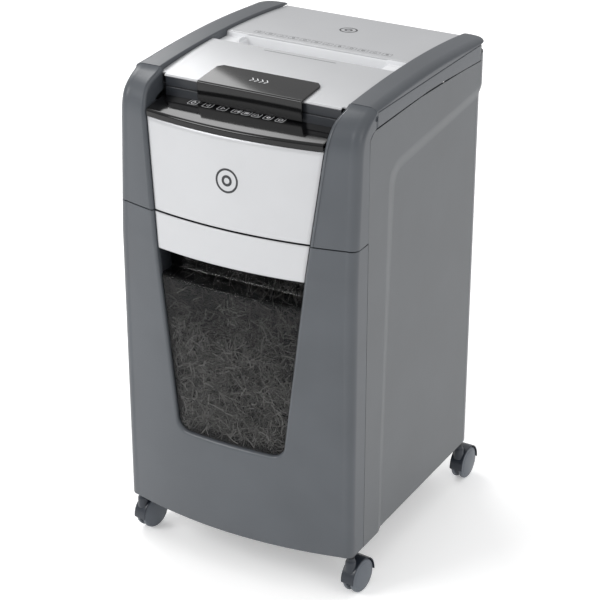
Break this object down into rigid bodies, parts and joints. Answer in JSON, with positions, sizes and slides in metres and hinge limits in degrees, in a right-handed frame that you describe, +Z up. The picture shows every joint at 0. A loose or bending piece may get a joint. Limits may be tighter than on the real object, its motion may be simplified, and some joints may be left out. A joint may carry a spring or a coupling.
{
  "type": "paper shredder",
  "caption": "Tall office paper shredder on castors: auto-feed lid, hand-feed throat, twin geared cutters and a pull-out waste bin.",
  "frame": {"origin": "centre of the bounding box's bottom face: on the floor under the middle of the machine", "axes": "+Z up, the front with the bin window faces -Y, +X to the right seen from the front"},
  "size_m": [0.4135, 0.485, 0.791],
  "materials": {
    "grey": "fine-grained satin",
    "grey_side": "fine-grained satin",
    "silver": "silver lacquer, satin",
    "gloss_black": "polished",
    "dark": "matte",
    "smoked": "smoked, see-through",
    "white": "smooth",
    "steel": "oiled, hardened",
    "zinc": "zinc plated",
    "nylon": "natural",
    "rubber": "matte",
    "board": "solder mask",
    "castor_hood": "satin",
    "castor_disc": "satin"
  },
  "bodies": {
    "cabinet": {"base_tray": "dark", "side_left": "grey_side", "side_right": "grey_side", "rear_panel": "grey", "head_arm_left": "grey", "head_arm_right": "grey", "head_front": "silver", "control_panel": "gloss_black", "control_board": "board", "recess_wall": "dark", "feed_tray": "dark", "head_deck": "dark", "cutter_plate_left": "zinc", "cutter_plate_right": "zinc", "tie_rod_front": "zinc", "tie_rod_rear": "zinc", "stripper_front": "zinc", "stripper_rear": "zinc", "motor_can": "zinc", "motor_saddle": "zinc", "power_inlet": "dark", "switch_bezel": "dark", "lid_interlock": "dark", "bin_interlock": "dark", "hinge_bracket_left": "zinc", "hinge_bracket_right": "zinc", "guide_left": "nylon", "guide_right": "nylon"},
    "lid": {"lid_rail_left": "grey", "lid_rail_right": "grey", "lid_front_panel": "silver", "lid_rear_panel": "silver", "feed_guide": "white", "lid_frame": "dark", "lid_handle": "gloss_black"},
    "pressure_plate": {"pressure_plate": "dark"},
    "bin": {"bin_frame": "grey", "bin_band": "silver", "bin_scoop": "dark", "bin_window": "smoked", "bin_bucket": "dark", "bin_runner_left": "nylon", "bin_runner_right": "nylon"},
    "rear_cutter": {"rear_cutter": "steel"},
    "front_cutter": {"front_cutter": "steel"},
    "idler_gear": {"idler_gear": "nylon"},
    "motor_rotor": {"motor_rotor": "steel"},
    "feed_idler": {"feed_idler": "nylon"},
    "feed_roller": {"feed_roller": "rubber"},
    "power_rocker": {"power_rocker": "gloss_black"},
    "castor_front_left": {"castor_front_left_hood": "castor_hood"},
    "castor_front_right": {"castor_front_right_hood": "castor_hood"},
    "castor_rear_left": {"castor_rear_left_hood": "castor_hood"},
    "castor_rear_right": {"castor_rear_right_hood": "castor_hood"},
    "wheels_front_left": {"castor_front_left_wheels": "castor_disc"},
    "wheels_front_right": {"castor_front_right_wheels": "castor_disc"},
    "wheels_rear_left": {"castor_rear_left_wheels": "castor_disc"},
    "wheels_rear_right": {"castor_rear_right_wheels": "castor_disc"}
  },
  "joints": [
    {"name": "lid_hinge", "type": "hinge", "parent": "cabinet", "child": "lid", "pos_m": [0, 0.204, 0.764], "axis": [-1, 0, 0], "range_deg": [0, 62]},
    {"name": "plate_press", "type": "slide", "parent": "lid", "child": "pressure_plate", "axis": [0, 0, 1], "range_m": [0, 0.012], "stiffness_N_per_m": 150},
    {"name": "bin_slide", "type": "slide", "parent": "cabinet", "child": "bin", "axis": [0, -1, 0], "range_m": [0, 0.36]},
    {"name": "rear_cutter_spin", "type": "hinge", "parent": "cabinet", "child": "rear_cutter", "pos_m": [0, 0.039, 0.65], "axis": [1, 0, 0], "continuous": true},
    {"name": "front_cutter_spin", "type": "hinge", "parent": "cabinet", "child": "front_cutter", "pos_m": [0, 0.001, 0.65], "axis": [1, 0, 0], "continuous": true},
    {"name": "idler_spin", "type": "hinge", "parent": "cabinet", "child": "idler_gear", "pos_m": [0, 0.091, 0.65], "axis": [1, 0, 0], "continuous": true},
    {"name": "motor_spin", "type": "hinge", "parent": "cabinet", "child": "motor_rotor", "pos_m": [0, 0.143, 0.65], "axis": [1, 0, 0], "continuous": true},
    {"name": "feed_idler_spin", "type": "hinge", "parent": "cabinet", "child": "feed_idler", "pos_m": [0, -0.023, 0.67265], "axis": [1, 0, 0], "continuous": true},
    {"name": "feed_roller_spin", "type": "hinge", "parent": "cabinet", "child": "feed_roller", "pos_m": [0, -0.038, 0.6939], "axis": [1, 0, 0], "continuous": true},
    {"name": "rocker_tilt", "type": "hinge", "parent": "cabinet", "child": "power_rocker", "pos_m": [0.078, 0.211, 0.64], "axis": [0, 0, 1], "range_deg": [0, 12]},
    {"name": "swivel_front_left", "type": "hinge", "parent": "cabinet", "child": "castor_front_left", "pos_m": [-0.19, -0.198, 0.07], "axis": [0, 0, 1], "continuous": true},
    {"name": "swivel_front_right", "type": "hinge", "parent": "cabinet", "child": "castor_front_right", "pos_m": [0.19, -0.198, 0.07], "axis": [0, 0, 1], "continuous": true},
    {"name": "swivel_rear_left", "type": "hinge", "parent": "cabinet", "child": "castor_rear_left", "pos_m": [-0.1879, 0.1909, 0.07], "axis": [0, 0, 1], "continuous": true},
    {"name": "swivel_rear_right", "type": "hinge", "parent": "cabinet", "child": "castor_rear_right", "pos_m": [0.1879, 0.1909, 0.07], "axis": [0, 0, 1], "continuous": true},
    {"name": "roll_front_left", "type": "hinge", "parent": "castor_front_left", "child": "wheels_front_left", "pos_m": [-0.18653, -0.1783, 0.0275], "axis": [0.9848, -0.1736, 0], "continuous": true},
    {"name": "roll_front_right", "type": "hinge", "parent": "castor_front_right", "child": "wheels_front_right", "pos_m": [0.19209, -0.17811, 0.0275], "axis": [0.9945, -0.1045, 0], "continuous": true},
    {"name": "roll_rear_left", "type": "hinge", "parent": "castor_rear_left", "child": "wheels_rear_left", "pos_m": [-0.19089, 0.21068, 0.0275], "axis": [0.9888, 0.1495, 0], "continuous": true},
    {"name": "roll_rear_right", "type": "hinge", "parent": "castor_rear_right", "child": "wheels_rear_right", "pos_m": [0.18825, 0.2109, 0.0275], "axis": [0.9998, -0.0175, 0], "continuous": true}
  ],
  "couplings": [
    {"joint": "front_cutter_spin", "follows": "rear_cutter_spin", "ratio": -1},
    {"joint": "idler_spin", "follows": "rear_cutter_spin", "ratio": -3.3333},
    {"joint": "motor_spin", "follows": "rear_cutter_spin", "ratio": 11.111},
    {"joint": "feed_idler_spin", "follows": "rear_cutter_spin", "ratio": 1.3571},
    {"joint": "feed_roller_spin", "follows": "rear_cutter_spin", "ratio": -1.5833}
  ]
}
